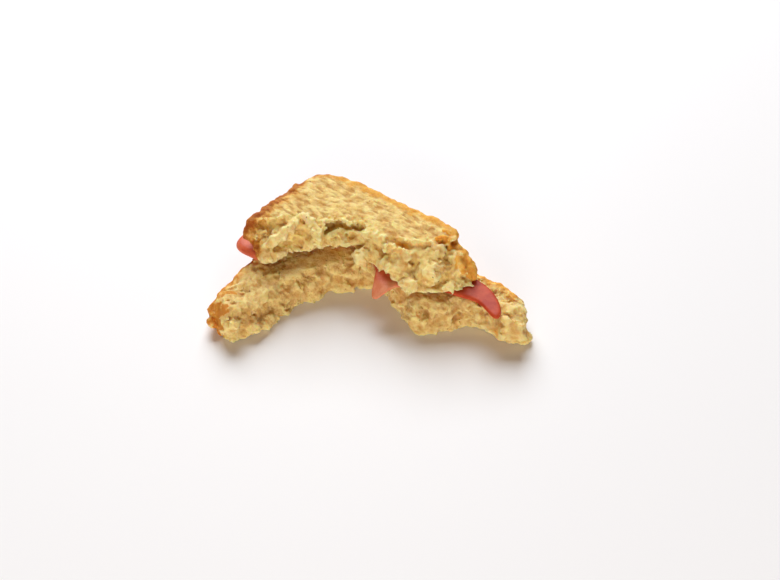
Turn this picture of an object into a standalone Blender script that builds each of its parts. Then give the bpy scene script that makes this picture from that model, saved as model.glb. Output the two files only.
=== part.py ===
"""Half eaten sandwich: two slices of light wheat bread with one folded slice of ham between them.

The back corner of the sandwich is left. Two neighbouring crusts of the loaf meet there, and
mouthfuls have been bitten out along the whole front. Lengths are in millimetres until the last
step, which puts them in metres. +X is to the right, +Y to the back, +Z up.
"""
from math import atan2, cos, exp, hypot, pi, radians, sin

import bmesh
import bpy
from mathutils import Matrix, Vector, noise

# Loaf: the cross-section of one slice is a rounded square.
LOAF_HALF_WIDTH = 51.6
LOAF_HALF_HEIGHT = 49.7
BOTTOM_SQUARENESS = 7.0
TOP_SQUARENESS = 8.6
SLICE_THICKNESS = 13.0
CRUST_ROUND = 3.6
CRUST_BULGE = 0.8

# Where each slice lies: centre of its rounded square and turn about +Z in degrees.
BOTTOM_CENTRE = (-7.7, -35.1)
BOTTOM_TURN = -29.8
TOP_CENTRE = (-8.1, -29.7)
TOP_TURN = -35.2

# Heights of the layers.
HAM_THICKNESS = 2.0
FOLD_THICKNESS = 4.0
GAP = 0.3
HAM_REST = SLICE_THICKNESS + GAP
TOP_REST = HAM_REST + HAM_THICKNESS + GAP
TOP_SQUASH = 0.90

# Bite lines. Each row is a corner of the line: x and y on the slice's upper face, x and y on its
# lower face, and the bow of the arc to the next corner, positive towards the back.
BOTTOM_BITE = (
    (-66, -15, -66, -15, 0.0),
    (-57.0, -22.6, -58.0, -23.0, -0.6),
    (-50.5, -28.8, -47.4, -30.4, 0.6),
    (-31.5, -13.2, -30.5, -14.7, 0.8),
    (-17.0, -5.6, -16.0, -5.2, 1.4),
    (-1.0, -4.4, 0.4, -2.4, 1.2),
    (8.3, -18.3, 10.6, -18.0, 0.8),
    (14.2, -21.6, 15.0, -26.8, -0.8),
    (27.5, -22.6, 27.8, -24.8, 0.6),
    (33.6, -23.0, 34.0, -21.8, 0.8),
    (44.0, -30.0, 44.5, -27.6, -0.5),
    (54.5, -33.4, 55.0, -32.6, -0.6),
    (66, -31, 66, -31, 0.0),
)
TOP_BITE = (
    (-53, 10.0, -53, 5.4, 0.0),
    (-43.8, 3.8, -43.4, -1.4, 0.4),
    (-35.0, 7.0, -37.6, -3.6, 0.4),
    (-28.0, 8.4, -28.0, -0.8, 0.0),
    (-20.5, 6.0, -20.0, 1.6, 0.6),
    (-12.0, 7.4, -11.9, 5.2, 0.0),
    (-4.6, 6.0, -3.2, 1.0, -0.8),
    (3.4, -2.6, 6.0, -10.2, -0.6),
    (13.0, -6.0, 12.4, -19.0, 0.8),
    (26.0, -4.0, 26.1, -17.6, -0.4),
    (30.2, -3.6, 31.0, -19.6, 0.0),
    (31.6, -1.6, 39.2, -15.4, 0.0),
    (34.0, 5, 42.5, -1, 0.0),
)
TOOTH_WIDTH = 8.5
TOOTH_DEPTH = 0.7
BOTTOM_WEAR = (4.6, 5.0)
TOP_WEAR = (2.4, 3.0)

# Relief of the bread.
TORN_CLUMP = 2.6
TORN_LUMP = 1.7
TORN_PORE = 1.1
CRUST_KNOB = 0.45
FACE_GRAIN = 0.12
BARE_WEAR = 0.9
VOXEL = 0.85
SLICE_TRIANGLES = 5800
HAM_TRIANGLES = 1900


def turned(point, centre, turn):
    """A point of the loaf's own frame, put where the slice lies."""
    c = cos(radians(turn))
    s = sin(radians(turn))
    return (centre[0] + c * point[0] - s * point[1], centre[1] + s * point[0] + c * point[1])


def loaf_share(x, y, centre, turn, n):
    """0 at the middle of the slice and 1 on its crust."""
    c = cos(radians(turn))
    s = sin(radians(turn))
    u = (x - centre[0]) * c + (y - centre[1]) * s
    v = -(x - centre[0]) * s + (y - centre[1]) * c
    return (abs(u / LOAF_HALF_WIDTH) ** n + abs(v / LOAF_HALF_HEIGHT) ** n) ** (1 / n)


def smooth(low, high, value):
    t = min(max((value - low) / (high - low), 0.0), 1.0)
    return t * t * (3 - 2 * t)


def loaf_ring(inset, z, centre, turn, n, count=160):
    """One ring of the slice's outside, drawn in from the crust by the inset."""
    ring = []
    for k in range(count):
        a = 2 * pi * k / count
        r = (abs(cos(a)) ** n + abs(sin(a)) ** n) ** (-1 / n)
        u = r * cos(a) * (LOAF_HALF_WIDTH - inset)
        v = r * sin(a) * (LOAF_HALF_HEIGHT - inset)
        ring.append((*turned((u, v), centre, turn), z))
    return ring


def mesh_object(name, build, collection=None):
    """A mesh object filled by the function build, with its faces turned outwards."""
    work = bmesh.new()
    build(work)
    bmesh.ops.recalc_face_normals(work, faces=work.faces)
    mesh = bpy.data.meshes.new(name)
    work.to_mesh(mesh)
    work.free()
    made = bpy.data.objects.new(name, mesh)
    (collection or bpy.context.scene.collection).objects.link(made)
    return made


def skin(work, rings):
    """Faces between rings of equal count, and one cap at each end."""
    rows = [[work.verts.new(p) for p in ring] for ring in rings]
    for low, high in zip(rows, rows[1:]):
        for k in range(len(low)):
            j = (k + 1) % len(low)
            work.faces.new((low[k], low[j], high[j], high[k]))
    work.faces.new(rows[0][::-1])
    work.faces.new(rows[-1])


def slab(name, centre, turn, squareness):
    """A whole slice: flat faces and a crust that is round like the edge of a pillow."""
    rings = []
    for k in range(11):
        a = radians(-90 + 18 * k)
        z = SLICE_THICKNESS / 2 + (SLICE_THICKNESS / 2 - CRUST_ROUND) * sin(a) + CRUST_ROUND * sin(a)
        inset = CRUST_ROUND * (1 - cos(a)) ** 1.2 - CRUST_BULGE * cos(a)
        rings.append(loaf_ring(inset, z, centre, turn, squareness))
    return mesh_object(name, lambda work: skin(work, rings))


def bowed(rows, first, back=0.0, steps=8):
    """The bite line on one face of the slice; first is the column its x stands in."""
    line = []
    for row, after in zip(rows, rows[1:]):
        start = Vector(row[first:first + 2])
        along = Vector(after[first:first + 2]) - start
        side = Vector((-along.y, along.x)).normalized()
        for k in range(steps):
            t = k / steps
            line.append(start + along * t + side * (4 * t * (1 - t) * row[4]))
    line.append(Vector(rows[-1][first:first + 2]))
    run = 0.0
    moved = []
    for before, here, after in zip(line[:1] + line, line, line[1:] + line[-1:]):
        run += (here - before).length
        side = Vector((before.y - after.y, after.x - before.x)).normalized()
        moved.append(here + side * (back + TOOTH_DEPTH * abs(sin(pi * run / TOOTH_WIDTH))))
    for _ in range(2):
        inner = [(a + 2 * b + c) / 4 for a, b, c in zip(moved, moved[1:], moved[2:])]
        moved = moved[:1] + inner + moved[-1:]
    return moved


def bite_cutter(name, rows, wear, cutters):
    """Everything in front of a bite line, as a block whose back wall leans as the bite does.

    The wear is the depth over which the bite's upper edge has crumbled, and how far back it goes.
    """
    rings = []
    for z, back in ((-6.0, 0.0), (SLICE_THICKNESS - wear[0], 0.0), (SLICE_THICKNESS + 3.0, wear[1])):
        t = min(z / SLICE_THICKNESS, 1.0)
        upper = bowed(rows, 0, back)
        lower = bowed(rows, 2, back)
        wall = [(b[0] + t * (a[0] - b[0]), b[1] + t * (a[1] - b[1]), z) for a, b in zip(upper, lower)]
        rings.append(wall + [(90, wall[-1][1], z), (90, -120, z), (-100, -120, z), (-100, wall[0][1], z)])
    return mesh_object(name, lambda work: skin(work, rings), cutters)


def ball(name, place, size, collection=None, turn=0.0):
    """An egg-shaped lump or hollow."""
    def build(work):
        bmesh.ops.create_icosphere(work, subdivisions=3, radius=1.0)
        shape = Matrix.Translation(place) @ Matrix.Rotation(radians(turn), 4, "Z")
        bmesh.ops.transform(work, matrix=shape @ Matrix.Diagonal((*size, 1.0)), verts=work.verts)
    return mesh_object(name, build, collection)


def torn_off(name, place, size, heading, slope, collection):
    """A block whose lower face slopes down away from the place, along the heading."""
    def build(work):
        bmesh.ops.create_cube(work, size=1.0)
        block = Matrix.Translation(place) @ Matrix.Rotation(radians(heading), 4, "Z")
        block = block @ Matrix.Rotation(radians(slope), 4, "Y") @ Matrix.Diagonal((*size, 1.0))
        bmesh.ops.transform(work, matrix=block @ Matrix.Translation((0.5, 0.0, 0.5)), verts=work.verts)
    return mesh_object(name, build, collection)


def baked(thing):
    """The object with its modifiers applied to its mesh."""
    graph = bpy.context.evaluated_depsgraph_get()
    mesh = bpy.data.meshes.new_from_object(thing.evaluated_get(graph))
    thing.modifiers.clear()
    thing.data = mesh
    return thing


def combine(thing, other, operation):
    step = thing.modifiers.new(operation.lower(), "BOOLEAN")
    step.operation = operation
    step.solver = "EXACT"
    step.use_self = True
    step.object = other
    baked(thing)
    bpy.data.objects.remove(other)


def voxelled(thing, size):
    step = thing.modifiers.new("voxels", "REMESH")
    step.mode = "VOXEL"
    step.voxel_size = size
    return baked(thing)


def softened(thing, factor, rounds):
    step = thing.modifiers.new("soften", "SMOOTH")
    step.factor = factor
    step.iterations = rounds
    return baked(thing)


def thinned(thing, triangles):
    """The mesh as about this many triangles."""
    thing.data.calc_loop_triangles()
    step = thing.modifiers.new("fewer", "DECIMATE")
    step.ratio = triangles / len(thing.data.loop_triangles)
    step.use_collapse_triangulate = True
    return baked(thing)


def biggest_body(thing):
    """Only the largest connected body is kept: a crag that came loose is dropped."""
    work = bmesh.new()
    work.from_mesh(thing.data)
    work.verts.ensure_lookup_table()
    seen = set()
    bodies = []
    for start in work.verts:
        if start.index in seen:
            continue
        body = []
        reach = [start]
        seen.add(start.index)
        while reach:
            vert = reach.pop()
            body.append(vert)
            for edge in vert.link_edges:
                other = edge.other_vert(vert)
                if other.index not in seen:
                    seen.add(other.index)
                    reach.append(other)
        bodies.append(body)
    bodies.sort(key=len)
    for body in bodies[:-1]:
        bmesh.ops.delete(work, geom=body, context="VERTS")
    work.to_mesh(thing.data)
    work.free()


def roughen(thing, centre, turn, squareness, shift):
    """Torn crumb on the bites, knobs on the crust, and almost nothing on the two flat faces."""
    moves = []
    for vert in thing.data.vertices:
        p = vert.co
        n = vert.normal
        depth = (1 - loaf_share(p.x, p.y, centre, turn, squareness)) * LOAF_HALF_WIDTH
        inside = smooth(1.6, 4.6, depth)
        near_face = smooth(1.6, 0.5, min(abs(p.z), abs(SLICE_THICKNESS - p.z)))
        torn = inside * (1 - near_face * smooth(0.55, 0.9, abs(n.z)))
        q = p + Vector(shift)
        bent = q + 1.6 * noise.noise_vector(q / 4.0)
        clump = 0.55 - noise.voronoi(bent / 5.2)[0][0]
        lump = noise.noise(q / 8.0) + 0.4 * noise.noise(q / 3.4)
        pore = exp(-(noise.voronoi(Vector((q.x, q.y, q.z * 1.25)) / 3.2)[0][0] / 0.26) ** 2)
        knob = noise.noise(q / 5.5) + 0.5 * noise.noise(q / 2.6)
        amount = torn * (TORN_CLUMP * clump + TORN_LUMP * lump - TORN_PORE * pore)
        amount += (1 - inside) * CRUST_KNOB * knob
        bare = near_face * max(smooth(-28.0, -42.0, p.x), smooth(34.0, 44.0, p.x))
        amount += (inside - torn) * (FACE_GRAIN * noise.noise(q / 2.2) - bare * BARE_WEAR * (lump + 0.6))
        moves.append(p + n * amount)
    for vert, place in zip(thing.data.vertices, moves):
        vert.co = place


def clamp_faces(thing, low, high):
    """No point of a slice leaves the room between these two heights."""
    for vert in thing.data.vertices:
        vert.co.z = min(max(vert.co.z, low(vert.co)), high(vert.co))


def top_under(p):
    """Height of the upper slice's underside: the folded ham lifts its left end."""
    return TOP_REST + 2.3 * (1 - smooth(-43.0, -22.0, p.x + 0.25 * p.y))


def slice_of(name, centre, turn, squareness, bite, wear, cutters, lumps, hollows, loose, planes=()):
    """A slice with its bite taken out, lumps left standing and hollows torn into it."""
    made = slab(name, centre, turn, squareness)
    combine(made, bite_cutter(name + "_bite", bite, wear, cutters), "DIFFERENCE")
    for place, size, lean in hollows:
        combine(made, ball(name + "_hollow", place, size, cutters, lean), "DIFFERENCE")
    for tear in planes:
        combine(made, torn_off(name + "_tear", *tear, cutters), "DIFFERENCE")
    grown = bmesh.new()
    grown.from_mesh(made.data)
    for place, size, lean in lumps:
        lump = ball(name + "_lump", place, size, cutters, lean)
        grown.from_mesh(lump.data)
        bpy.data.objects.remove(lump)
    grown.to_mesh(made.data)
    grown.free()
    voxelled(made, VOXEL)
    softened(made, 0.5, 2)
    roughen(made, centre, turn, squareness, loose)
    voxelled(made, 0.8 * VOXEL)
    softened(made, 0.5, 1)
    return made


for old in list(bpy.data.objects):
    bpy.data.objects.remove(old)
cutter_collection = bpy.data.collections.new("cutters")
cutter_collection.hide_render = True
bpy.context.scene.collection.children.link(cutter_collection)
part_collection = bpy.data.collections.new("half_eaten_sandwich")
bpy.context.scene.collection.children.link(part_collection)

# Bottom slice: flat on the table, with a wide arch bitten out and a smaller mouthful to its right.
BOTTOM_LUMPS = (
    ((-11.0, -3.9, 3.0), (4.4, 2.8, 3.4), 0),
    ((-38.5, -20.6, 2.0), (4.6, 3.6, 3.6), 40),
    ((-42.6, -25.0, 2.8), (3.2, 2.5, 3.0), 40),
    ((20.0, -22.6, 2.0), (6.0, 3.6, 3.4), 0),
    ((-56.5, -18.5, 4.0), (3.2, 4.0, 3.9), 0),
    ((55.6, -28.4, 2.2), (3.6, 3.0, 2.6), -40),
)
BOTTOM_HOLLOWS = (
    ((-27.0, -12.6, 8.0), (3.2, 2.4, 2.2), 40),
    ((-42.0, -24.8, 9.5), (2.6, 2.6, 1.8), 40),
    ((4.2, -12.6, 4.0), (2.2, 3.0, 2.2), 0),
    ((31.5, -22.2, 5.5), (3.0, 1.8, 2.4), 0),
    ((50.0, -33.0, 5.0), (2.6, 1.6, 1.6), -20),
)
bottom = slice_of(
    "bottom_slice", BOTTOM_CENTRE, BOTTOM_TURN, BOTTOM_SQUARENESS, BOTTOM_BITE, BOTTOM_WEAR,
    cutter_collection, BOTTOM_LUMPS, BOTTOM_HOLLOWS, (3.0, 11.0, 5.0),
)

# Top slice: its bite leaves a thin upper skin over hollows and a long torn slope on the right.
TOP_LUMPS = (
    ((-31.5, 6.0, 6.6), (5.0, 4.4, 3.6), 0),
    ((-37.5, 3.2, 3.4), (4.6, 3.8, 3.2), 0),
    ((-19.4, 5.2, 8.2), (1.9, 4.4, 4.4), 0),
    ((-12.0, 4.6, 4.6), (8.6, 4.6, 2.1), -4),
    ((-2.4, -2.6, 1.9), (3.2, 4.4, 2.8), -20),
    ((9.0, -8.0, 4.6), (5.0, 5.2, 3.6), 0),
    ((22.0, -11.0, 5.4), (5.6, 5.0, 3.4), 0),
    ((31.5, -8.6, 5.0), (3.6, 5.0, 3.4), 30),
    ((14.0, -17.8, 1.8), (3.0, 3.6, 2.0), 0),
    ((28.0, -17.4, 1.8), (2.6, 3.0, 2.0), 0),
)
TOP_HOLLOWS = (
    ((-11.0, 5.6, 8.8), (8.4, 5.2, 1.9), -6),
    ((-13.0, 2.6, 0.4), (7.0, 5.0, 1.6), -4),
    ((-38.0, 5.4, 9.4), (4.6, 3.6, 1.8), 0),
    ((2.2, -4.4, 7.4), (2.8, 3.2, 2.2), 0),
    ((15.4, -9.8, 8.0), (2.6, 2.6, 2.0), 0),
    ((27.0, -12.0, 7.4), (2.0, 2.4, 1.8), 0),
    ((30.0, -15.6, 4.6), (4.6, 2.0, 1.4), 12),
)
# At the right end the upper skin stops short, and the crust below it slopes down to an edge.
TOP_TEARS = (
    ((28.8, -0.6, 6.6), (30.0, 17.0, 20.0), -41, 21),
)
top = slice_of(
    "top_slice", TOP_CENTRE, TOP_TURN, TOP_SQUARENESS, TOP_BITE, TOP_WEAR,
    cutter_collection, TOP_LUMPS, TOP_HOLLOWS, (31.0, 2.0, 7.0), TOP_TEARS,
)


def flat_floor(point):
    return 0.0


def flat_lid(point):
    return SLICE_THICKNESS


clamp_faces(bottom, flat_floor, flat_lid)
clamp_faces(top, flat_floor, lambda point: SLICE_THICKNESS + 0.3)
for corner in top.data.vertices:
    p = corner.co
    pull = 4.4 * smooth(28.0, 41.0, p.x) * smooth(-17.0, -7.0, p.y)
    p.x -= 0.45 * pull
    p.y -= 0.75 * pull
    p.z = top_under(p) + TOP_SQUASH * p.z

# Ham: one thin round slice. Its left edge is folded over on itself and pokes out past the crust,
# a flap hangs into the bite in the middle, and its round right edge lies on the bottom slice's arm.
HAM_OUTLINE = (
    (-44.0, 2.6), (-36.0, 5.0), (-24.0, 7.6), (-7.0, 6.6), (0.9, -3.6), (0.8, -11.0), (-0.2, -16.0),
    (1.8, -18.2), (5.6, -17.6), (10.6, -14.8), (14.0, -17.2), (26.0, -17.2), (31.0, -19.2), (38.6, -22.8),
    (44.0, -30.2), (46.6, -27.4), (45.6, -20.6), (42.2, -14.6), (36.0, -9.0), (27.0, -2.4), (10.0, 11.0),
    (-8.0, 22.0), (-20.0, 26.0), (-31.0, 19.6), (-41.4, 9.0),
)
FOLD_OUTLINE = (
    (-51.2, 7.4), (-50.4, 3.6), (-45.4, 0.0), (-40.4, -2.4), (-36.4, 0.0), (-35.6, 7.0), (-40.0, 13.0),
    (-47.6, 12.6),
)
DROOP_FROM = ((-1.6, -4.6), (8.2, -18.6))
DROOP = 0.85


def rounded_line(points, closed, steps=6):
    """A curve through the points, with its tangents taken from the neighbours."""
    count = len(points)
    line = []
    for i in range(count if closed else count - 1):
        if closed:
            a, b, c, d = (Vector(points[(i + k) % count]) for k in (-1, 0, 1, 2))
        else:
            a, b, c, d = (Vector(points[min(max(i + k, 0), count - 1)]) for k in (-1, 0, 1, 2))
        for k in range(steps):
            t = k / steps
            line.append(0.5 * (2 * b + (c - a) * t + (2 * a - 5 * b + 4 * c - d) * t * t
                               + (3 * b - a - 3 * c + d) * t ** 3))
    if not closed:
        line.append(Vector(points[-1]))
    return line


def pad(work, outline, thickness, middle, edge_round):
    """A flat pad with rounded edges, resting where the ham rests."""
    edge = rounded_line(outline, True)
    rings = []
    for k in range(7):
        a = radians(-90 + 30 * k)
        inset = edge_round * (1 - cos(a))
        z = HAM_REST + thickness / 2 * (1 + sin(a))
        rings.append([(*(p + (Vector(middle) - p).normalized() * inset), z) for p in edge])
    skin(work, rings)


def past_edge(p):
    """How far a point is past the line where the flap leaves the bottom slice."""
    (x0, y0), (x1, y1) = DROOP_FROM
    length = hypot(x1 - x0, y1 - y0)
    return ((x1 - x0) * (p.y - y0) - (y1 - y0) * (p.x - x0)) / -length


def folded_ham(work):
    pad(work, HAM_OUTLINE, HAM_THICKNESS, (0.0, -2.0), 0.9)
    pad(work, FOLD_OUTLINE, FOLD_THICKNESS, (-42.0, 5.0), 2.2)


ham = mesh_object("ham", folded_ham)
voxelled(ham, 0.6)
softened(ham, 0.5, 2)
for corner in ham.data.vertices:
    p = corner.co
    past = max(past_edge(p) - 0.8, 0.0) * smooth(6.0, -1.0, p.y) * smooth(-8.0, -5.0, p.x)
    p.z -= DROOP * past
    over = p.z - HAM_REST - HAM_THICKNESS
    p.z -= max(over, 0.0) * smooth(-44.0, -34.0, p.x)


def finish(thing, triangles, colour, roughness):
    """Thins the mesh, puts it in metres and gives it its material."""
    biggest_body(thing)
    thinned(thing, triangles)
    for user in list(thing.users_collection):
        user.objects.unlink(thing)
    part_collection.objects.link(thing)
    material = bpy.data.materials.new(thing.name)
    material.use_nodes = True
    surface = material.node_tree.nodes["Principled BSDF"]
    surface.inputs["Base Color"].default_value = colour
    surface.inputs["Roughness"].default_value = roughness
    thing.data.materials.clear()
    thing.data.materials.append(material)


finish(bottom, SLICE_TRIANGLES, (0.62, 0.42, 0.18, 1.0), 0.9)
finish(top, SLICE_TRIANGLES, (0.72, 0.50, 0.24, 1.0), 0.9)
finish(ham, HAM_TRIANGLES, (0.55, 0.16, 0.10, 1.0), 0.4)

# The object's origin: the middle of its box, on the table.
places = [corner.co for thing in (bottom, top, ham) for corner in thing.data.vertices]
lows = [min(p[axis] for p in places) for axis in range(3)]
highs = [max(p[axis] for p in places) for axis in range(3)]
home = Vector(((lows[0] + highs[0]) / 2, (lows[1] + highs[1]) / 2, lows[2]))
for thing in (bottom, top, ham):
    thing.data.transform(Matrix.Scale(0.001, 4) @ Matrix.Translation(-home))
    thing.data.update()
bpy.data.collections.remove(cutter_collection)
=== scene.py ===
"""Half eaten sandwich: light wheat bread with one folded slice of cooked ham, on a pale table.

Sizes and places of the food are in millimetres, and lengths that Blender takes are times MM.
"""

from math import radians, tan

import bmesh
import bpy
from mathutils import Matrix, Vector


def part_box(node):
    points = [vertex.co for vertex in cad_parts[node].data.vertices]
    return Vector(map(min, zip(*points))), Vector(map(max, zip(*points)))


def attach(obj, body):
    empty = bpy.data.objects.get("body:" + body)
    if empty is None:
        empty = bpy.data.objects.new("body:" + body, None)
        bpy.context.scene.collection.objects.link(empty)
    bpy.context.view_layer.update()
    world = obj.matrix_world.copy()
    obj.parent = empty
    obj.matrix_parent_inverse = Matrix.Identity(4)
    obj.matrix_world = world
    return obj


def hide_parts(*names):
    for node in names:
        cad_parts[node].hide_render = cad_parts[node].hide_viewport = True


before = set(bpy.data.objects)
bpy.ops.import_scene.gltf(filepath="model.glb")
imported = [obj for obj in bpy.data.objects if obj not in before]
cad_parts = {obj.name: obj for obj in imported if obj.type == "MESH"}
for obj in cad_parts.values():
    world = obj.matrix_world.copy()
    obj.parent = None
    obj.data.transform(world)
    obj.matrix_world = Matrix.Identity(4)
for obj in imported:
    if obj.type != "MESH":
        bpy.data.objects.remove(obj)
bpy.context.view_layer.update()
MM = 0.001

# Stage: a plain white table top under one large soft light from behind and above, with a weaker
# fill from the front. The camera looks down at the bitten side, as a person at the table does.
CAMERA_ELEVATION = 47.0
CAMERA_DISTANCE = 336.9 * MM
CAMERA_TARGET = Vector((7.573, -4.975, 0.0)) * MM
FIELD_OF_VIEW = 48.0
HALF_TABLE = 3.0
ROOM_COLOUR = (1.0, 0.63, 0.40, 1.0)
ROOM_STRENGTH = 0.155

camera_data = bpy.data.cameras.new("camera")
camera_data.sensor_width = 36.0
camera_data.lens = camera_data.sensor_width / 2 / tan(radians(FIELD_OF_VIEW / 2))
camera_data.clip_start = 0.01
camera = bpy.data.objects.new("camera", camera_data)
camera.rotation_euler = (radians(90 - CAMERA_ELEVATION), 0.0, 0.0)
camera.location = CAMERA_TARGET + camera.rotation_euler.to_matrix() @ Vector((0, 0, CAMERA_DISTANCE))
bpy.context.scene.collection.objects.link(camera)
bpy.context.scene.camera = camera
bpy.context.scene.view_settings.view_transform = "Standard"


def new_material(name, feeds):
    """A material whose Principled shader has these plain values; returns its tree and shader too."""
    material = bpy.data.materials.new(name)
    material.use_nodes = True
    shader = material.node_tree.nodes["Principled BSDF"]
    for key, value in feeds.items():
        shader.inputs[key].default_value = value
    return material, material.node_tree, shader


table_mesh = bpy.data.meshes.new("table_top")
corners = [(x * HALF_TABLE, y * HALF_TABLE, 0.0) for x, y in ((-1, -1), (1, -1), (1, 1), (-1, 1))]
table_mesh.from_pydata(corners, [], [(0, 1, 2, 3)])
table_top = bpy.data.objects.new("table_top", table_mesh)
bpy.context.scene.collection.objects.link(table_top)
table_mesh.materials.append(new_material("white_table", {
    "Base Color": (0.90, 0.885, 0.87, 1.0),
    "Roughness": 0.55,
    "Specular IOR Level": 0.2,
})[0])


def soft_light(name, place, size, power, colour):
    """A square area light that faces the sandwich; its place and size are in metres."""
    light = bpy.data.lights.new(name, "AREA")
    light.size = size
    light.energy = power
    light.color = colour
    lamp = bpy.data.objects.new(name, light)
    lamp.location = place
    lamp.rotation_euler = (-Vector(place)).to_track_quat("-Z", "Y").to_euler()
    bpy.context.scene.collection.objects.link(lamp)


soft_light("window_light", place=(-0.22, 1.62, 1.50), size=1.5, power=66.5, colour=(1.0, 1.07, 1.15))
soft_light("low_fill", place=(-0.10, -1.22, 0.20), size=0.7, power=11.0, colour=(1.0, 0.95, 0.87))
world = bpy.data.worlds.new("room")
world.use_nodes = True
world.node_tree.nodes["Background"].inputs["Color"].default_value = ROOM_COLOUR
world.node_tree.nodes["Background"].inputs["Strength"].default_value = ROOM_STRENGTH
bpy.context.scene.world = world

# Bottom slice: sandwich bread, soft pale crumb inside a thin browned crust. It was cut flat on
# both faces and then bitten along its front, so the crumb there is torn into clumps and pores.
# Both slices are grown as a volume round their CAD solid by the node tree torn_bread.
LOAF_HALF_WIDTH = 51.6
LOAF_HALF_HEIGHT = 49.7
BOTTOM_LOAF = {"Centre": (-7.127, -37.075, 0.0), "Turn": radians(-29.8), "Squareness": 7.0}
VOXEL = 0.42
ROOM_AROUND = 1.5
BALL_SPACING = 0.6


def put(tree, kind, feeds=(), **settings):
    """A node with its properties set and its inputs fed from sockets or plain values."""
    made = tree.nodes.new(kind)
    for name, value in settings.items():
        setattr(made, name, value)
    for key, value in dict(feeds).items():
        if isinstance(value, bpy.types.NodeSocket):
            tree.links.new(value, made.inputs[key])
        else:
            made.inputs[key].default_value = value
    return made


def calc(tree, operation, *values):
    """A sum or the like on plain numbers."""
    return put(tree, "ShaderNodeMath", dict(enumerate(values)), operation=operation).outputs[0]


def ease(tree, value, low, high, start=0.0, end=1.0):
    """Start below low and end above high, with a soft step between them."""
    feeds = {"Value": value, "From Min": low, "From Max": high, "To Min": start, "To Max": end}
    return put(tree, "ShaderNodeMapRange", feeds, interpolation_type="SMOOTHSTEP").outputs[0]


def vectors(tree, operation, *values, out=0):
    """A sum or the like on vectors."""
    return put(tree, "ShaderNodeVectorMath", dict(enumerate(values)), operation=operation).outputs[out]


def scaled(tree, vector, factor):
    """The vector times a number."""
    return put(tree, "ShaderNodeVectorMath", {0: vector, "Scale": factor}, operation="SCALE").outputs[0]


def part_of(tree, vector, axis):
    """One number of a vector: axis is 0, 1 or 2."""
    return put(tree, "ShaderNodeSeparateXYZ", {0: vector}).outputs[axis]


def turned(tree, vector, centre, angle):
    """The vector turned round an upright axis."""
    feeds = {"Vector": vector, "Center": centre, "Angle": angle}
    return put(tree, "ShaderNodeVectorRotate", feeds, rotation_type="Z_AXIS").outputs[0]


def noise(tree, vector, size, detail=2.0, roughness=0.5, out=0):
    """Noise around 0.5 whose lumps are about this size."""
    feeds = {"Vector": vector, "Scale": 1 / size, "Detail": detail, "Roughness": roughness}
    return put(tree, "ShaderNodeTexNoise", feeds).outputs[out]


def lumps(tree, vector, size, detail=2.0, roughness=0.5):
    """Noise around 0 whose lumps are about this size."""
    return calc(tree, "SUBTRACT", noise(tree, vector, size, detail, roughness), 0.5)


def wander(tree, vector, size, reach, detail=2.0, roughness=0.5):
    """A vector that strays about this far from 0 and changes over about this size."""
    stray = vectors(tree, "SUBTRACT", noise(tree, vector, size, detail, roughness, out=1), (0.5, 0.5, 0.5))
    return scaled(tree, stray, reach)


def cells(tree, vector, size, out="Distance"):
    """Distance from the nearest of scattered points that lie about this size apart."""
    return put(tree, "ShaderNodeTexVoronoi", {"Vector": vector, "Scale": 1 / size}).outputs[out]


def new_tree(name, kind, inputs, outputs):
    """A node tree with named inputs and outputs, and the ends of both."""
    tree = bpy.data.node_groups.new(name, kind)
    for label, socket_type, value in inputs:
        socket = tree.interface.new_socket(label, in_out="INPUT", socket_type="NodeSocket" + socket_type)
        if value is not None:
            socket.default_value = value
    for label, socket_type in outputs:
        tree.interface.new_socket(label, in_out="OUTPUT", socket_type="NodeSocket" + socket_type)
    return tree, tree.nodes.new("NodeGroupInput").outputs, tree.nodes.new("NodeGroupOutput").inputs


# Centre, Turn and Squareness place the loaf's outline, a rounded square. Face Height is where its cut
# face begins, Lid the height that nothing passes, and Crust End how far along the right crust goes.
# Left Share is the left crust's width as a share of Crust Width. Clump and Crumble set how strong the
# relief of the torn crumb is, Streak that of the cut face, and Knob and Bulge that of the crust.
crumb_tree, given, result = new_tree("torn_bread", "GeometryNodeTree", (
    ("Geometry", "Geometry", None),
    ("Low Corner", "Vector", None),
    ("High Corner", "Vector", None),
    ("Voxel", "Float", VOXEL * MM),
    ("Centre", "Vector", None),
    ("Turn", "Float", 0.0),
    ("Squareness", "Float", 7.0),
    ("Shift", "Vector", None),
    ("Face Height", "Float", 13.0),
    ("Lid", "Float", 13.0),
    ("Crust End", "Float", 99.0),
    ("Crags", "Object", None),
    ("Hollows", "Object", None),
    ("Baked", "Object", None),
    ("Crust Width", "Float", 3.6),
    ("Left Share", "Float", 1.7),
    ("Clump", "Float", 1.3),
    ("Crumble", "Float", 1.4),
    ("Streak", "Float", 0.4),
    ("Knob", "Float", 2.6),
    ("Bulge", "Float", 0.0),
    ("Material", "Material", None),
), (("Geometry", "Geometry"),))
t = crumb_tree

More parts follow.
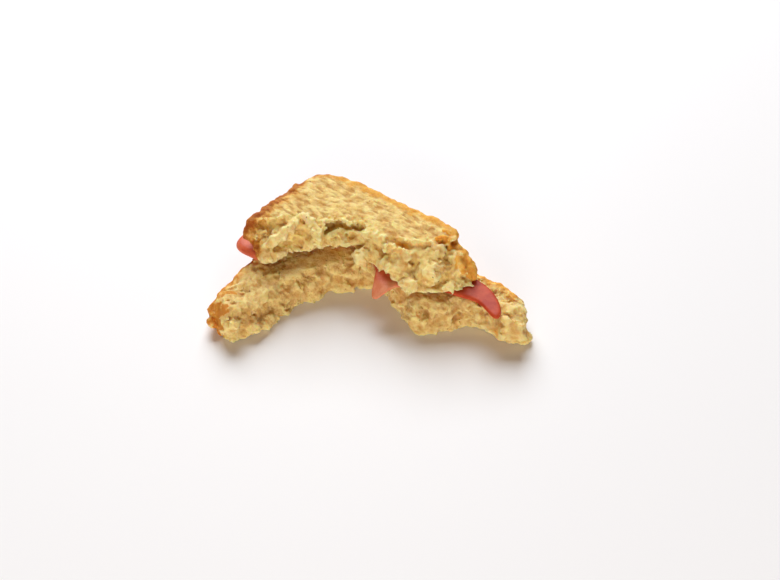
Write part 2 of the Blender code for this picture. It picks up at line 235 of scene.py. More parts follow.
# Where a point is: in millimetres, and in the loaf's own frame, whose first axis runs along the
# right crust. share is 1 on the loaf's outline. bake is below 0 on the right crust, 0 at the corner
# and above 0 on the left crust.
END_FADE = 4.0
LEFT_CRUST = (-0.2, 0.45)
position = put(t, "GeometryNodeInputPosition").outputs[0]
place = scaled(t, position, 1 / MM)
height = part_of(t, place, 2)
shifted = vectors(t, "ADD", place, given["Shift"])
turn_back = calc(t, "MULTIPLY", given["Turn"], -1.0)
loaf = vectors(t, "SUBTRACT", turned(t, place, given["Centre"], turn_back), given["Centre"])
loaf_x = part_of(t, loaf, 0)
loaf_y = part_of(t, loaf, 1)
across = calc(t, "ABSOLUTE", calc(t, "DIVIDE", loaf_x, LOAF_HALF_WIDTH))
along = calc(t, "ABSOLUTE", calc(t, "DIVIDE", loaf_y, LOAF_HALF_HEIGHT))
share = calc(t, "POWER", calc(
    t, "ADD", calc(t, "POWER", across, given["Squareness"]), calc(t, "POWER", along, given["Squareness"]),
), calc(t, "DIVIDE", 1.0, given["Squareness"]))
loaf_depth = calc(t, "MULTIPLY", calc(t, "SUBTRACT", 1.0, share), LOAF_HALF_WIDTH)
past_end = ease(t, calc(t, "SUBTRACT", loaf_x, given["Crust End"]), 0.0, END_FADE)
bake = calc(t, "SUBTRACT", calc(t, "DIVIDE", loaf_x, -LOAF_HALF_WIDTH), along)
width = calc(t, "MULTIPLY", given["Crust Width"], ease(t, bake, *LEFT_CRUST, 1.0, given["Left Share"]))

# Chains of balls mark single crags, hollows and baked patches. They are looked up at a frayed
# place, so that their edges come out torn.
FRAY_SIZE = 2.6
FRAY_REACH = 4.0


def field_of(tree, name, data_type):
    """A named attribute."""
    return put(tree, "GeometryNodeInputNamedAttribute", {"Name": name}, data_type=data_type).outputs[0]


def beyond(tree, chain, at):
    """Distance of a place from a chain of balls, in millimetres, negative inside them."""
    points = put(tree, "GeometryNodeObjectInfo", {"Object": chain}).outputs["Geometry"]
    nearest = put(tree, "GeometryNodeSampleNearest", {
        "Geometry": points, "Sample Position": at,
    }, domain="POINT").outputs[0]
    reach = put(tree, "GeometryNodeSampleIndex", {
        "Geometry": points, "Value": field_of(tree, "reach", "FLOAT"), "Index": nearest,
    }, data_type="FLOAT", domain="POINT").outputs[0]
    away = put(tree, "GeometryNodeProximity", {
        0: points, "Sample Position": at,
    }, target_element="POINTS").outputs["Distance"]
    return calc(tree, "MULTIPLY", calc(tree, "SUBTRACT", away, reach), 1 / MM)


fray = wander(t, shifted, FRAY_SIZE, FRAY_REACH * MM, detail=3.0, roughness=0.6)
frayed = vectors(t, "ADD", position, fray)
off_crags = beyond(t, given["Crags"], frayed)
off_hollows = beyond(t, given["Hollows"], frayed)
off_patches = beyond(t, given["Baked"], frayed)

# How deep a point lies under the crust. The crust is the part of the solid's wall that stands
# upright on the loaf's outline and faces outwards, and not the bitten wall.
UPRIGHT_BELOW = 0.6
OUTLINE_REACH = 5.0
BITTEN_FROM = 4.0
OUTWARD_ABOVE = 0.5
DEEPER_PAST_END = 8.0
NO_CRUST = 12.0
PATCH_EDGE = (1.0, -1.0)
PATCH_SHARE = 0.55
PATCH_BLEND = 0.5
CRUMB_FROM = (0.35, 1.05)


def both(tree, first, second):
    """True where both are."""
    return put(tree, "FunctionNodeBooleanMath", {0: first, 1: second}).outputs[0]


def below(tree, value, limit):
    """True where the value is under the limit."""
    return put(tree, "FunctionNodeCompare", {0: value, 1: limit}, operation="LESS_THAN").outputs[0]


def off_wall(tree, chosen):
    """Distance from the chosen faces of the solid, in millimetres."""
    wall = put(tree, "GeometryNodeSeparateGeometry", {
        "Geometry": given["Geometry"], "Selection": chosen,
    }, domain="FACE").outputs[0]
    away = put(tree, "GeometryNodeProximity", {0: wall}, target_element="FACES").outputs["Distance"]
    return calc(tree, "MULTIPLY", away, 1 / MM)


face_normal = put(t, "GeometryNodeInputNormal").outputs[0]
upright = below(t, calc(t, "ABSOLUTE", part_of(t, face_normal, 2)), UPRIGHT_BELOW)
steep = calc(t, "SUBTRACT", given["Squareness"], 1.0)
outward = put(t, "ShaderNodeCombineXYZ", {
    0: calc(t, "MULTIPLY", calc(t, "POWER", across, steep), calc(t, "SIGN", loaf_x)),
    1: calc(t, "MULTIPLY", calc(t, "POWER", along, steep), calc(t, "SIGN", loaf_y)),
}).outputs[0]
turned_normal = turned(t, face_normal, (0.0, 0.0, 0.0), turn_back)
turned_away = vectors(t, "DOT_PRODUCT", vectors(t, "NORMALIZE", outward), turned_normal, out="Value")
on_outline = both(t, upright, below(t, loaf_depth, OUTLINE_REACH))
crust_wall = both(t, on_outline, below(t, OUTWARD_ABOVE, turned_away))
depth = calc(t, "MULTIPLY_ADD", past_end, DEEPER_PAST_END, off_wall(t, crust_wall))
patch_depth = ease(t, off_patches, *PATCH_EDGE, NO_CRUST, calc(t, "MULTIPLY", width, PATCH_SHARE))
depth = calc(t, "SMOOTH_MIN", depth, patch_depth, PATCH_BLEND)
inside = ease(t, calc(t, "DIVIDE", depth, width), *CRUMB_FROM)

# Distance from the solid's surface, negative inside it, and the way its surface faces there.
near = put(t, "GeometryNodeProximity", {0: given["Geometry"]}, target_element="FACES").outputs
facing = put(t, "GeometryNodeSampleNearestSurface", {
    "Mesh": given["Geometry"], "Value": field_of(t, "outward", "FLOAT_VECTOR"),
}, data_type="FLOAT_VECTOR").outputs[0]
to_point = vectors(t, "SUBTRACT", position, near[0])
side = calc(t, "SIGN", vectors(t, "DOT_PRODUCT", to_point, facing, out="Value"))
gap = calc(t, "MULTIPLY", calc(t, "MULTIPLY", near[1], side), 1 / MM)

# What kind of surface that is: the cut upper face away from its lip and hollows, the face it lies
# on, or torn crumb.
LEVEL_FROM = (0.72, 0.95)
UNDER_FROM = (-0.7, -0.95)
FACE_STEP = 0.8
LIP_EDGE = (0.8, 3.2)
HOLLOW_EDGE = (-0.2, 1.4)
surface_height = calc(t, "MULTIPLY", part_of(t, near[0], 2), 1 / MM)
under = part_of(t, facing, 2)
level = calc(t, "ABSOLUTE", under)
lip = off_wall(t, both(t, upright, below(t, BITTEN_FROM, loaf_depth)))
high_enough = ease(t, surface_height, given["Face Height"], calc(t, "ADD", given["Face Height"], FACE_STEP))
face = calc(t, "MULTIPLY", ease(t, level, *LEVEL_FROM), high_enough)
cut = calc(t, "MULTIPLY", face, ease(t, lip, *LIP_EDGE))
cut = calc(t, "MULTIPLY", cut, ease(t, off_hollows, *HOLLOW_EDGE))
base_face = ease(t, under, *UNDER_FROM)
torn = calc(t, "MULTIPLY", inside, calc(t, "SUBTRACT", 1.0, calc(t, "MAXIMUM", cut, base_face)))

# Torn crumb: clumps in a broad swell, with finer tufts and thin wisps on them.
BEND_SIZE = 3.6
BEND_REACH = 5.0
CLUMP_SIZE = 5.0
CLUMP_MIDDLE = 0.45
TUFT_SIZE = 3.0
TUFT_RISE = 3.4
WISP_SIZE = 3.4
WISP_WIDTH = 0.07
WISP_RISE = 0.45
SWELL_SIZE = 6.5
SWELL_RISE = 3.0
bent = vectors(t, "ADD", shifted, wander(t, shifted, BEND_SIZE, BEND_REACH))
clump = calc(t, "SUBTRACT", CLUMP_MIDDLE, cells(t, bent, CLUMP_SIZE))
tufts = lumps(t, bent, TUFT_SIZE, detail=3.0, roughness=0.6)
wisps = ease(t, calc(t, "ABSOLUTE", lumps(t, bent, WISP_SIZE)), WISP_WIDTH, 0.0)
swell = lumps(t, shifted, SWELL_SIZE)
raised = calc(t, "MULTIPLY", calc(t, "MULTIPLY_ADD", tufts, TUFT_RISE, clump), given["Clump"])
raised = calc(t, "MULTIPLY_ADD", swell, SWELL_RISE, raised)
raised = calc(t, "MULTIPLY_ADD", wisps, WISP_RISE, raised)
torn_rise = calc(t, "MULTIPLY", raised, torn)

# Cut face: shallow pores, drawn out along the crust by the moulding of the dough, and a worn lip.
DRAWN_OUT = (0.45, 1.0, 0.8)
FINE_STREAK_SIZE = 1.5
FINE_STREAK = (0.54, 0.34)
BROAD_STREAK_SIZE = 4.2
BROAD_STREAK = (0.62, 0.34)
BROAD_SHARE = 0.75
GRAIN_SIZE = 1.8
GRAIN_RISE = -0.6
WORN_WIDTH = 3.6
WORN_RISE = -0.9
CUT_CRUMB = (0.8, 3.6)
stretched = vectors(t, "ADD", vectors(t, "MULTIPLY", loaf, DRAWN_OUT), given["Shift"])
fine_streaks = ease(t, noise(t, stretched, FINE_STREAK_SIZE), *FINE_STREAK)
broad_streaks = ease(t, noise(t, stretched, BROAD_STREAK_SIZE), *BROAD_STREAK)
furrows = calc(t, "MULTIPLY_ADD", broad_streaks, BROAD_SHARE, fine_streaks)
grain = lumps(t, shifted, GRAIN_SIZE, detail=3.0, roughness=0.6)
streaks = calc(t, "MULTIPLY_ADD", grain, GRAIN_RISE, calc(t, "MULTIPLY", furrows, given["Streak"]))
worn = calc(t, "MULTIPLY", calc(t, "MULTIPLY", face, ease(t, lip, WORN_WIDTH, 0.0)), WORN_RISE)
cut_inside = calc(t, "MULTIPLY", calc(t, "MULTIPLY", cut, ease(t, depth, *CUT_CRUMB)), -1.0)
cut_rise = calc(t, "MULTIPLY_ADD", streaks, cut_inside, worn)

# Crust: blistered and knobbly, smoother on the baked patches, and bulging along the right side.
KNOB_SIZE = 3.6
OFF_PATCH = (-1.0, 1.5)
KNOBS_ON_PATCH = 0.35
BULGE_FROM_CORNER = (-0.02, -0.30)
BULGE_TO_END = (-1.35, -1.10)
knobs = calc(t, "MULTIPLY", lumps(t, shifted, KNOB_SIZE), given["Knob"])
crust_rise = calc(t, "MULTIPLY", knobs, calc(t, "SUBTRACT", 1.0, calc(t, "MAXIMUM", inside, base_face)))
crust_rise = calc(t, "MULTIPLY", crust_rise, ease(t, off_patches, *OFF_PATCH, KNOBS_ON_PATCH, 1.0))
bulge = calc(t, "MULTIPLY", ease(t, bake, *BULGE_FROM_CORNER), ease(t, bake, *BULGE_TO_END))
bulge = calc(t, "MULTIPLY", bulge, given["Bulge"])
crust_rise = calc(t, "MULTIPLY_ADD", bulge, calc(t, "SUBTRACT", 1.0, inside), crust_rise)

# The grown surface: the solid's, raised by that relief, with the single crags and hollows, and
# fine crumbs over all that is torn. It ends at the table and at the lid, the height of the slice.
CRAG_BLEND = 1.2
HOLLOW_BLEND = 1.0
CRUMB_SIZE = 1.6
SKIN_HALF = 1.0
rise = calc(t, "ADD", calc(t, "ADD", torn_rise, cut_rise), crust_rise)
crumbs = lumps(t, shifted, CRUMB_SIZE, detail=3.0, roughness=0.65)
crumble = calc(t, "MULTIPLY", crumbs, given["Crumble"])
moved = calc(t, "SUBTRACT", gap, rise)
moved = calc(t, "SMOOTH_MIN", moved, off_crags, CRAG_BLEND)
moved = calc(t, "SMOOTH_MAX", moved, calc(t, "MULTIPLY", off_hollows, -1.0), HOLLOW_BLEND)
moved = calc(t, "SUBTRACT", moved, calc(t, "MULTIPLY", crumble, torn))
moved = calc(t, "MAXIMUM", moved, calc(t, "MULTIPLY", height, -1.0))
moved = calc(t, "MAXIMUM", moved, calc(t, "SUBTRACT", height, given["Lid"]))

room = vectors(t, "SUBTRACT", given["High Corner"], given["Low Corner"])
voxel = put(t, "ShaderNodeCombineXYZ", dict.fromkeys(range(3), given["Voxel"])).outputs[0]
count = vectors(t, "DIVIDE", room, voxel)
density = put(t, "ShaderNodeMapRange", {
    "Value": moved, "From Min": SKIN_HALF, "From Max": -SKIN_HALF, "To Min": 0.0, "To Max": 1.0,
}).outputs[0]
cube = put(t, "GeometryNodeVolumeCube", {
    "Density": density,
    "Min": given["Low Corner"],
    "Max": given["High Corner"],
    "Resolution X": part_of(t, count, 0),
    "Resolution Y": part_of(t, count, 1),
    "Resolution Z": part_of(t, count, 2),
}).outputs[0]
skin = put(t, "GeometryNodeVolumeToMesh", {"Volume": cube, "Threshold": 0.5, "Adaptivity": 0.02}).outputs[0]

# Only the one body that hangs together stays; closed bubbles and loose grains go.
island = put(t, "GeometryNodeInputMeshIsland").outputs[0]
body_size = put(t, "GeometryNodeAccumulateField", {"Value": 1.0, "Group ID": island}).outputs["Total"]
largest = put(t, "GeometryNodeAttributeStatistic", {"Geometry": skin, "Attribute": body_size}).outputs["Max"]
loose = below(t, body_size, largest)
skin = put(t, "GeometryNodeDeleteGeometry", {"Geometry": skin, "Selection": loose}).outputs[0]


def eased_place(tree, rounds, weight):
    """Where each point lies once its neighbours have pulled it in this many times."""
    return put(tree, "GeometryNodeBlurAttribute", {
        "Value": position, "Iterations": rounds, "Weight": weight,
    }, data_type="FLOAT_VECTOR").outputs[0]


skin = put(t, "GeometryNodeSetPosition", {
    "Geometry": skin, "Position": eased_place(t, rounds=1, weight=0.7),
}).outputs[0]
skin = put(t, "GeometryNodeSetShadeSmooth", {0: skin}).outputs[0]

# For the materials: how far a point lies down in a pit, how deep under the crust, which crust is
# near, and how deep the furrows of the cut face are.
# The pit and furrow depths set the crumb's painted shade in hollows and painted highlight on crests.
PIT_BELOW_SOLID = -0.08
PIT_ROUNDS = 50
inwards = vectors(t, "SUBTRACT", eased_place(t, rounds=PIT_ROUNDS, weight=1.0), position)
cavity = calc(t, "MULTIPLY", vectors(t, "DOT_PRODUCT", inwards, face_normal, out="Value"), 1 / MM)
for label, value in (
    ("pit", calc(t, "MULTIPLY_ADD", gap, PIT_BELOW_SOLID, cavity)),
    ("depth", calc(t, "DIVIDE", depth, width)),
    ("bake", bake),
    ("furrow", calc(t, "MULTIPLY", furrows, cut)),
):
    skin = put(t, "GeometryNodeStoreNamedAttribute", {
        "Geometry": skin, "Name": label, "Value": value,
    }, data_type="FLOAT", domain="POINT").outputs[0]
t.links.new(put(t, "GeometryNodeSetMaterial", {
    "Geometry": put(t, "GeometryNodeRealizeInstances", {0: skin}).outputs[0],
    "Material": given["Material"],
}).outputs[0], result["Geometry"])


def merged_copy(name, node):
    """The CAD node's surface as one connected mesh that knows which way it faces."""
    work = bmesh.new()
    work.from_mesh(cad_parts[node].data)
    bmesh.ops.remove_doubles(work, verts=work.verts, dist=1e-6)
    mesh = bpy.data.meshes.new(name)
    work.to_mesh(mesh)
    work.free()
    facing_of = mesh.attributes.new("outward", "FLOAT_VECTOR", "POINT")
    for vertex, entry in zip(mesh.vertices, facing_of.data):
        entry.vector = vertex.normal
    copy = bpy.data.objects.new(name, mesh)
    bpy.context.scene.collection.objects.link(copy)
    return copy


def strung(name, chains):
    """Balls strung along chains of (x, y, z, radius) rows in millimetres, as points with a reach."""
    places = []
    reaches = []
    for chain in chains:
        for here, after in zip(chain, chain[1:] + chain[-1:]):
            steps = max(1, round((Vector(after[:3]) - Vector(here[:3])).length / BALL_SPACING))
            for k in range(steps):
                row = Vector(here).lerp(Vector(after), k / steps)
                places.append(Vector(row[:3]) * MM)
                reaches.append(row[3] * MM)
    mesh = bpy.data.meshes.new(name)
    mesh.from_pydata(places, [], [])
    mesh.attributes.new("reach", "FLOAT", "POINT").data.foreach_set("value", reaches)
    balls = bpy.data.objects.new(name, mesh)
    bpy.context.scene.collection.objects.link(balls)
    return balls


def grown(copy, tree, values):
    """The object with the tree's result as its plain mesh. The chains of balls go once they are used."""
    step = copy.modifiers.new("grow", "NODES")
    step.node_group = tree
    for item in tree.interface.items_tree:
        if item.in_out == "INPUT" and item.name in values:
            step[item.identifier] = values[item.name]
    graph = bpy.context.evaluated_depsgraph_get()
    mesh = bpy.data.meshes.new_from_object(copy.evaluated_get(graph))
    copy.modifiers.clear()
    copy.data = mesh
    for value in values.values():
        if isinstance(value, bpy.types.Object):
            bpy.data.objects.remove(value)
    return copy


def room_for(node):
    """The corners of the block of voxels round a CAD node."""
    low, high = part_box(node)
    margin = Vector((1.0, 1.0, 1.0)) * ROOM_AROUND * MM
    return {"Low Corner": low - margin, "High Corner": high + margin}


# Colour of the crumb: pale and warm in random patches with deeper ones among them, and flecks of
# bran. Over that go a painted highlight where it stands proud and painted shade in pores and furrows.
tone_tree, given, result = new_tree("crumb_tone", "ShaderNodeTree", (
    ("Vector", "Vector", None),
    ("Pit", "Float", 0.0),
    ("Furrow", "Float", 0.0),
    ("Pale", "Color", (0.93, 0.75, 0.30, 1.0)),
    ("Warm", "Color", (0.86, 0.59, 0.20, 1.0)),
    ("Deep Tone And Shade", "Color", (0.58, 0.275, 0.07, 1.0)),
    ("Light", "Color", (0.97, 0.81, 0.40, 1.0)),
    ("Bran", "Color", (0.30, 0.12, 0.04, 1.0)),
), (("Color", "Color"), ("Height", "Float")))
WARM_PATCH_SIZE = 2.6
WARM_PATCH = (0.38, 0.66)
DEEP_PATCH_SIZE = 4.0
DEEP_PATCH = (0.46, 0.62)
FURROW_SHADE_RANGE = (0.1, 1.4)
PROUD_HIGHLIGHT_RANGE = (0.0, -0.8)
PIT_SHADE_RANGE = (0.1, 1.2)
FLECK_SPACING = 2.3
FLECK_EDGE = (0.22, 0.08)
FLECKS_KEPT = (0.86, 0.90)
GRAIN_BUMP_SIZE = 1.1
GRAIN_BUMP_SHARE = 1.6
PORE_BUMP_SIZE = 0.8
PORE_BUMP_SHARE = 0.4


def blended(tree, factor, first, second):
    """The first colour where the factor is 0, the second where it is 1."""
    feeds = {0: factor, 6: first, 7: second}
    return put(tree, "ShaderNodeMix", feeds, data_type="RGBA").outputs[2]


t = tone_tree
spot = given["Vector"]
warm_patch = ease(t, noise(t, spot, WARM_PATCH_SIZE, detail=4.0, roughness=0.6), *WARM_PATCH)
deep_patch = ease(t, noise(t, spot, DEEP_PATCH_SIZE, detail=3.0, roughness=0.6), *DEEP_PATCH)
kept_fleck = put(t, "ShaderNodeSeparateColor", {0: cells(t, spot, FLECK_SPACING, out="Color")}).outputs[0]
fleck = calc(
    t, "MULTIPLY", ease(t, cells(t, spot, FLECK_SPACING), *FLECK_EDGE), ease(t, kept_fleck, *FLECKS_KEPT),
)
tone = blended(t, warm_patch, given["Pale"], given["Warm"])
# Painted highlight on the proud crests, painted shade down in furrows and pits; the deep patches and bran
# are the crumb's own tone.
for colour, place_of_it, strength in (
    ("Deep Tone And Shade", deep_patch, 0.42),
    ("Deep Tone And Shade", ease(t, given["Furrow"], *FURROW_SHADE_RANGE), 0.75),
    ("Light", ease(t, given["Pit"], *PROUD_HIGHLIGHT_RANGE), 0.8),
    ("Deep Tone And Shade", ease(t, given["Pit"], *PIT_SHADE_RANGE), 0.7),
    ("Bran", fleck, 0.75),
):
    tone = blended(t, calc(t, "MULTIPLY", place_of_it, strength), tone, given[colour])
t.links.new(tone, result["Color"])
pore_bump = calc(t, "MULTIPLY", cells(t, spot, PORE_BUMP_SIZE), PORE_BUMP_SHARE)
grain_bump = noise(t, spot, GRAIN_BUMP_SIZE, detail=4.0, roughness=0.7)
t.links.new(calc(t, "MULTIPLY_ADD", grain_bump, GRAIN_BUMP_SHARE, pore_bump), result["Height"])

# Colour of the crust: golden where it baked lightly, brown where it touched the hot tin and along
# its rim, in blotches, and fading into the crumb.
bake_tree, given, result = new_tree("crust_bake", "ShaderNodeTree", (
    ("Vector", "Vector", None),
    ("Depth", "Float", 0.0),
    ("Bake", "Float", 0.0),
    ("Crumb", "Color", (0.8, 0.6, 0.3, 1.0)),
    ("Golden", "Color", (0.82, 0.42, 0.07, 1.0)),
    ("Brown", "Color", (0.40, 0.105, 0.013, 1.0)),
), (("Color", "Color"), ("Mask", "Float")))
RAGGED_SIZE = 2.8
RAGGED_REACH = 2.0
CRUST_EDGE = (1.40, 0.60)
BROWN_SIDE = (-0.36, 0.10)
BROWN_EDGE = (1.10, 0.45)
BLOTCH_SIZE = 2.0
BROWN_BLOTCH = (0.34, 0.60)
BROWN_SHARE = (0.65, 1.0)
RIM_EDGE = (0.8, -0.6)
RIM_BLOTCH = (0.36, 0.64)
RIM_SHARE = (0.35, 0.85)
CRUMB_ROUGHNESS = 0.92
CRUST_ROUGHNESS = 0.65
t = bake_tree
rag = lumps(t, given["Vector"], RAGGED_SIZE, detail=3.0)
ragged = calc(t, "MULTIPLY_ADD", rag, RAGGED_REACH, given["Depth"])
mask = ease(t, ragged, *CRUST_EDGE)
blotch = noise(t, given["Vector"], BLOTCH_SIZE, detail=4.0, roughness=0.65)
brown_side = ease(t, given["Bake"], *BROWN_SIDE)
dark = calc(t, "MULTIPLY", brown_side, ease(t, blotch, *BROWN_BLOTCH, *BROWN_SHARE))
dark = calc(t, "MULTIPLY", dark, ease(t, ragged, *BROWN_EDGE))
rim = calc(t, "MULTIPLY", ease(t, ragged, *RIM_EDGE), ease(t, blotch, *RIM_BLOTCH, *RIM_SHARE))
crust_tone = blended(t, calc(t, "MAXIMUM", dark, rim), given["Golden"], given["Brown"])
t.links.new(blended(t, mask, given["Crumb"], crust_tone), result["Color"])
t.links.new(mask, result["Mask"])


def millimetres(tree):
    """The object's own coordinates, in millimetres."""
    return scaled(tree, put(tree, "ShaderNodeTexCoord").outputs["Object"], 1 / MM)


def stored(tree, label):
    """A value that the grown mesh keeps at its points."""
    return put(tree, "ShaderNodeAttribute", attribute_name=label).outputs["Fac"]


def bread_material(name, crumb, crust):
    """Bread: the crumb's colours inside, the baked crust's outside."""
    material, tree, shader = new_material(name, {
        "Subsurface Weight": 0.8,
        "Subsurface Radius": (1.0, 0.6, 0.28),
        "Subsurface Scale": 2.4 * MM,
        "Specular IOR Level": 0.15,
    })
    where = millimetres(tree)
    tone_node = put(tree, "ShaderNodeGroup", {
        "Vector": where,
        "Pit": stored(tree, "pit"),
        "Furrow": stored(tree, "furrow"),
        **crumb,
    }, node_tree=tone_tree)
    bake_node = put(tree, "ShaderNodeGroup", {
        "Vector": where,
        "Depth": stored(tree, "depth"),
        "Bake": stored(tree, "bake"),
        "Crumb": tone_node.outputs["Color"],
        **crust,
    }, node_tree=bake_tree)
    tree.links.new(bake_node.outputs["Color"], shader.inputs["Base Color"])
    roughness = ease(tree, bake_node.outputs["Mask"], 0.0, 1.0, CRUMB_ROUGHNESS, CRUST_ROUGHNESS)
    tree.links.new(roughness, shader.inputs["Roughness"])
    bump = put(tree, "ShaderNodeBump", {
        "Strength": 0.8,
        "Distance": 0.4 * MM,
        "Height": tone_node.outputs["Height"],
    })
    tree.links.new(bump.outputs[0], shader.inputs["Normal"])
    return material


# Knobs along the left crust to its tip, then two clumps on the torn front.
BOTTOM_CRAGS = (
    ((-45.0, -5.6, 8.6, 2.0),),
    ((-48.8, -10.4, 8.2, 2.1),),
    ((-53.2, -17.2, 7.6, 2.2),),
    ((-56.4, -22.0, 6.8, 2.4),),
    ((-57.0, -25.0, 4.2, 2.3),),
    ((-50.0, -24.5, 10.5, 1.8), (-46.5, -22.0, 11.2, 2.0)),
    ((-42.0, -21.5, 9.5, 2.2), (-38.0, -17.5, 11.0, 2.0)),
)
# A pore in the tooth between the bites, and the undercut lower edge at the left.
BOTTOM_HOLLOWS = (
    ((20.5, -24.4, 8.6, 1.3),),
    ((-44.6, -31.4, 1.0, 1.6), (-41.4, -29.8, 1.2, 2.2), (-38.0, -27.6, 1.4, 2.0)),
)
# Browned patches round the left tip.
BOTTOM_BAKED = (
    ((-55.6, -21.0, 8.8, 3.0), (-54.4, -23.0, 10.6, 2.2)),
    ((-57.0, -24.6, 4.6, 3.2), (-55.0, -26.2, 7.4, 3.2), (-53.4, -28.4, 7.0, 3.0)),
    ((-53.8, -24.9, 10.2, 3.0), (-51.6, -25.6, 11.6, 2.8)),
    ((-52.4, -18.6, 12.2, 2.2), (-49.4, -18.0, 12.8, 1.6)),
)
NO_CUT_FACE = 99.0
bottom_slice = grown(merged_copy("bottom_bread", "bottom_slice"), crumb_tree, {
    "Crags": strung("bottom_crags", BOTTOM_CRAGS),
    "Hollows": strung("bottom_hollows", BOTTOM_HOLLOWS),
    "Baked": strung("bottom_baked", BOTTOM_BAKED),
    "Crust Width": 3.2,
    "Left Share": 0.75,
    "Clump": 1.0,
    "Knob": 4.0,
    **room_for("bottom_slice"),
    **BOTTOM_LOAF,
    "Shift": (3.0, 11.0, 5.0),
    "Face Height": NO_CUT_FACE,
    "Lid": 13.1,
    "Crust End": 43.0,
    "Material": bread_material("bottom_bread", {
        # These crumb colours are darker than the top slice's, though it is the same crumb: painted shade on
        # the lower slice under the top one.
        "Pale": (0.885, 0.69, 0.285, 1.0),
        "Warm": (0.73, 0.45, 0.14, 1.0),
        "Deep Tone And Shade": (0.57, 0.25, 0.065, 1.0),
        "Light": (0.92, 0.74, 0.32, 1.0),
    }, {"Golden": (0.80, 0.40, 0.07, 1.0), "Brown": (0.60, 0.225, 0.03, 1.0)}),
})
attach(bottom_slice, "root")
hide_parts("bottom_slice")

# Top slice: the next slice of the same loaf, of the same crumb and crust, bitten further back. Its
# upper face is a clean cut, its right end is torn down to the crust, and it only lies on the ham.
TOP_LOAF = {"Centre": (-7.527, -31.675, 0.0), "Turn": radians(-35.2), "Squareness": 8.6}
TOP_CRAGS = (
    # The ridge on the left, the spur beside the recess, and the ledge in front of the recess.
    ((-27.4, 4.8, 25.0, 1.9), (-29.4, 3.2, 25.0, 2.4), (-32.0, 0.8, 23.6, 2.1), (-35.0, -0.6, 22.4, 2.1),
     (-37.8, -1.3, 21.2, 1.9)),
    ((-24.6, 7.2, 27.2, 1.5), (-22.0, 5.0, 27.2, 1.7), (-20.1, 2.8, 26.7, 1.5), (-18.9, 0.7, 25.7, 1.3),
     (-18.4, -1.6, 24.4, 0.9)),
    ((-18.4, -0.2, 19.6, 1.5), (-17.0, 1.8, 20.9, 1.6), (-13.8, 3.8, 22.1, 1.6), (-10.1, 4.8, 22.7, 1.6),
     (-6.7, 4.6, 22.6, 1.6), (-3.4, 3.2, 22.1, 1.6), (-0.6, 1.0, 21.3, 1.5)),
    # Knobs on the left crust.
    ((-34.2, 17.9, 25.0, 2.0),),
    ((-29.7, 23.5, 25.0, 2.0), (-28.0, 26.0, 25.0, 1.6)),
    # Clumps on the torn slope.
    ((1.7, -0.2, 24.0, 2.5), (4.3, -1.8, 24.0, 2.7), (6.8, -3.4, 23.8, 2.5)),
    ((9.4, -7.4, 21.4, 2.1), (12.0, -6.8, 21.6, 2.5)),
    ((17.8, -9.4, 21.6, 2.5), (21.4, -9.0, 22.4, 2.7), (25.0, -8.8, 23.0, 2.3)),
    ((20.3, -12.6, 19.4, 2.1), (24.6, -14.0, 19.4, 2.1)),
    # The flake beside the ham's flap, and the lower edge at the left tip.
    ((-4.7, -2.9, 16.8, 1.8), (-2.8, -5.2, 15.6, 1.5), (-1.4, -7.6, 14.6, 1.0)),
    ((-41.0, -3.0, 17.6, 1.5), (-39.0, -4.6, 16.6, 1.7), (-36.4, -4.0, 16.3, 1.7), (-33.4, -2.8, 16.6, 1.4)),
    # The crust left standing at the torn right end.
    ((33.2, -8.0, 20.6, 2.4), (35.6, -10.4, 19.4, 2.8), (37.0, -12.6, 18.0, 2.6)),
    ((30.0, -5.6, 21.8, 2.0), (32.0, -5.4, 21.6, 2.3), (33.8, -6.8, 21.0, 2.4)),
    ((30.6, -8.4, 21.8, 2.4), (32.8, -8.6, 21.4, 2.6)),
    # Teeth and fringe along the lower edge, over the ham.
    ((12.0, -16.6, 17.0, 1.5), (13.2, -18.6, 16.0, 1.1), (14.2, -20.4, 15.2, 0.5)),
    ((16.0, -19.5, 16.3, 1.1), (20.6, -19.8, 16.1, 1.2), (25.0, -19.6, 16.0, 1.2), (28.0, -19.0, 16.2, 1.2)),
    ((20.8, -18.4, 17.0, 0.9), (21.4, -20.0, 15.6, 0.4)),
    ((28.6, -18.4, 17.0, 1.4), (30.6, -20.8, 15.4, 0.5)),
)
TOP_HOLLOWS = (
    # The notch at the left tip, and the dips behind the ridge and between ridge and spur.
    ((-46.8, 1.0, 18.6, 2.3), (-45.0, -0.8, 18.3, 2.4), (-43.6, -2.6, 17.4, 1.8)),
    ((-39.8, 4.0, 26.2, 1.4), (-38.0, 3.8, 26.2, 1.9), (-35.7, 3.6, 26.4, 2.0), (-32.0, 4.4, 26.6, 1.5)),
    ((-25.6, 2.8, 23.6, 1.7), (-22.8, 1.4, 22.8, 1.8)),
    # The recess under the lip, and the undercut below the ledge.
    ((-18.2, 3.8, 23.2, 1.8), (-16.0, 4.8, 23.6, 2.0), (-13.6, 5.8, 23.8, 1.8), (-11.1, 6.2, 23.9, 1.7),
     (-7.4, 6.0, 23.9, 1.6), (-4.4, 5.1, 23.8, 1.3), (-2.1, 3.7, 23.5, 1.0), (-0.8, 2.4, 23.2, 0.9)),
    ((-12.0, -0.2, 17.0, 1.7), (-7.0, 0.6, 17.0, 1.8), (0.4, -1.8, 18.2, 1.6), (5.4, -3.0, 19.4, 1.4)),
    # The crevice and pits where the torn slope meets the cut face.
    ((7.4, -4.8, 26.4, 1.2), (10.2, -5.8, 26.2, 1.6), (13.0, -6.9, 26.0, 1.7), (16.2, -8.0, 26.2, 1.3)),
    ((24.6, -5.2, 26.6, 0.8), (27.4, -5.8, 26.4, 1.0)),
    ((31.8, -3.0, 25.0, 1.0),),
    # Dents in the outline of the right end and of its upper corner.
    ((39.6, -9.6, 21.4, 1.4), (40.2, -11.2, 20.2, 1.5), (40.4, -13.0, 19.0, 1.3)),
    ((29.4, 1.4, 29.2, 2.0), (32.6, -1.8, 29.2, 2.0)),
)
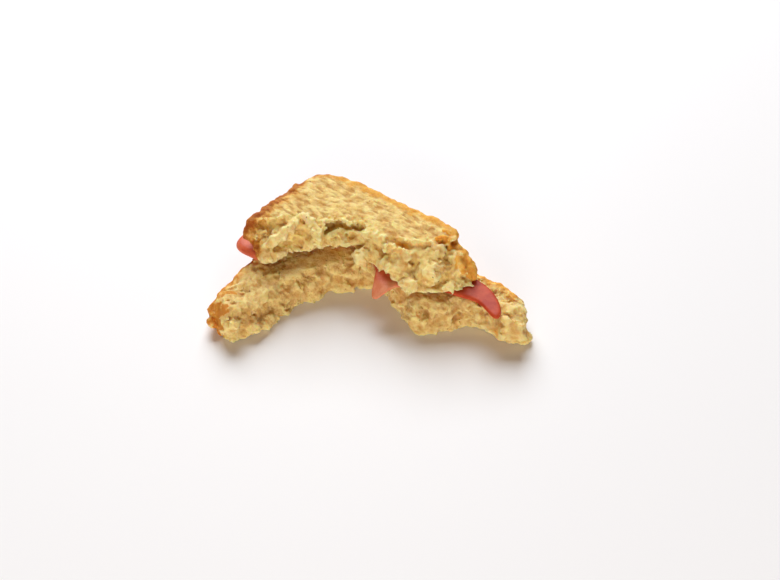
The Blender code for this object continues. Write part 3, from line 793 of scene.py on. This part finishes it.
# Where crust colour shows at the torn right end: its wall, a spot on that wall, the corner of the
# upper face, and two stretches of the slope's upper edge.
TOP_BAKED = (
    ((30.2, -5.4, 23.0, 2.6), (31.8, -5.6, 22.4, 3.0), (34.2, -8.0, 21.0, 4.2), (36.2, -11.0, 20.0, 5.2),
     (38.2, -13.4, 18.4, 4.2)),
    ((33.0, -12.0, 22.8, 3.2), (33.8, -15.0, 22.6, 3.2)),
    ((27.0, -1.0, 28.4, 1.5), (30.2, -2.0, 27.8, 2.4)),
    ((24.8, -4.8, 27.2, 1.8), (28.5, -5.2, 26.8, 2.2)),
    ((9.0, -4.6, 24.4, 1.2), (13.0, -6.2, 24.2, 1.8)),
)
top_slice = grown(merged_copy("top_bread", "top_slice"), crumb_tree, {
    "Crags": strung("top_crags", TOP_CRAGS),
    "Hollows": strung("top_hollows", TOP_HOLLOWS),
    "Baked": strung("top_baked", TOP_BAKED),
    "Crust Width": 3.0,
    "Left Share": 1.5,
    "Bulge": 1.0,
    "Crumble": 1.7,
    **room_for("top_slice"),
    **TOP_LOAF,
    "Shift": (31.0, 2.0, 7.0),
    "Face Height": 25.0,
    "Lid": 29.6,
    "Material": bread_material("top_bread", {}, {}),
})
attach(top_slice, "root")
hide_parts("top_slice")

# Ham: one thin, moist slice of cooked ham that runs through the sandwich. It is folded at the left,
# hangs into the bite in the middle and ends round at the right. Only the bread's weight holds it.
HAM_VOXEL = 0.4
HAM_OUTER = ((0.58, 0.10, 0.04, 1.0), (0.70, 0.17, 0.075, 1.0))
HAM_HANGING = ((0.70, 0.20, 0.09, 1.0), (0.80, 0.33, 0.18, 1.0))
HAM_INNER = ((0.43, 0.038, 0.010, 1.0), (0.57, 0.080, 0.022, 1.0))
MARBLING_SIZE = 4.0
MARBLING = (0.35, 0.68)
FLAP_SHADE_TO_BACK = (-12.0, -17.0)
PALE_FROM_LEFT = (-25.0, -15.0)
RED_TO_RIGHT = (9.0, 16.0)
FLAP_LEFT = -12.0
FLAP_RIGHT = 16.0
FLAP_BACK = -8.0


def ham_material():
    """Cooked ham: salmon pink at the fold, paler on the flap, painted shade on the flap's back, redder at
    the round end.
    """
    material, tree, shader = new_material("cooked_ham", {
        "Roughness": 0.50,
        "Specular IOR Level": 0.22,
        "Subsurface Weight": 0.4,
        "Subsurface Radius": (1.0, 0.35, 0.2),
        "Subsurface Scale": 1.5 * MM,
    })
    where = millimetres(tree)
    marbling = ease(tree, noise(tree, where, MARBLING_SIZE, detail=4.0, roughness=0.6), *MARBLING)
    outer, hanging, inner = (
        blended(tree, marbling, *colours) for colours in (HAM_OUTER, HAM_HANGING, HAM_INNER)
    )
    # Painted shade: the flap is darker toward its back, where it goes in under the top slice, and paler at
    # the front.
    hanging = blended(tree, ease(tree, part_of(tree, where, 1), *FLAP_SHADE_TO_BACK), outer, hanging)
    tone = blended(tree, ease(tree, part_of(tree, where, 0), *PALE_FROM_LEFT), outer, hanging)
    tone = blended(tree, ease(tree, part_of(tree, where, 0), *RED_TO_RIGHT), tone, inner)
    tree.links.new(tone, shader.inputs["Base Color"])
    return material


ham = merged_copy("ham_slice", "ham")
for kind, settings in (
    ("REMESH", {"mode": "VOXEL", "voxel_size": HAM_VOXEL * MM, "use_smooth_shade": True}),
    ("SMOOTH", {"factor": 0.5, "iterations": 9}),
    ("SMOOTH", {"factor": 0.5, "iterations": 40, "vertex_group": "flap"}),
):
    step = ham.modifiers.new(kind.lower(), kind)
    for key, value in settings.items():
        setattr(step, key, value)
    if kind == "SMOOTH":
        flap = ham.vertex_groups.get("flap") or ham.vertex_groups.new(name="flap")
        for vertex in ham.data.vertices:
            x, y = (vertex.co / MM).xy
            if FLAP_LEFT < x < FLAP_RIGHT and y < FLAP_BACK:
                flap.add([vertex.index], 1.0, "REPLACE")
    graph = bpy.context.evaluated_depsgraph_get()
    smooth_mesh = bpy.data.meshes.new_from_object(ham.evaluated_get(graph))
    ham.modifiers.clear()
    ham.data = smooth_mesh
ham.vertex_groups.clear()
ham.data.materials.clear()
ham.data.materials.append(ham_material())
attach(ham, "root")
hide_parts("ham")
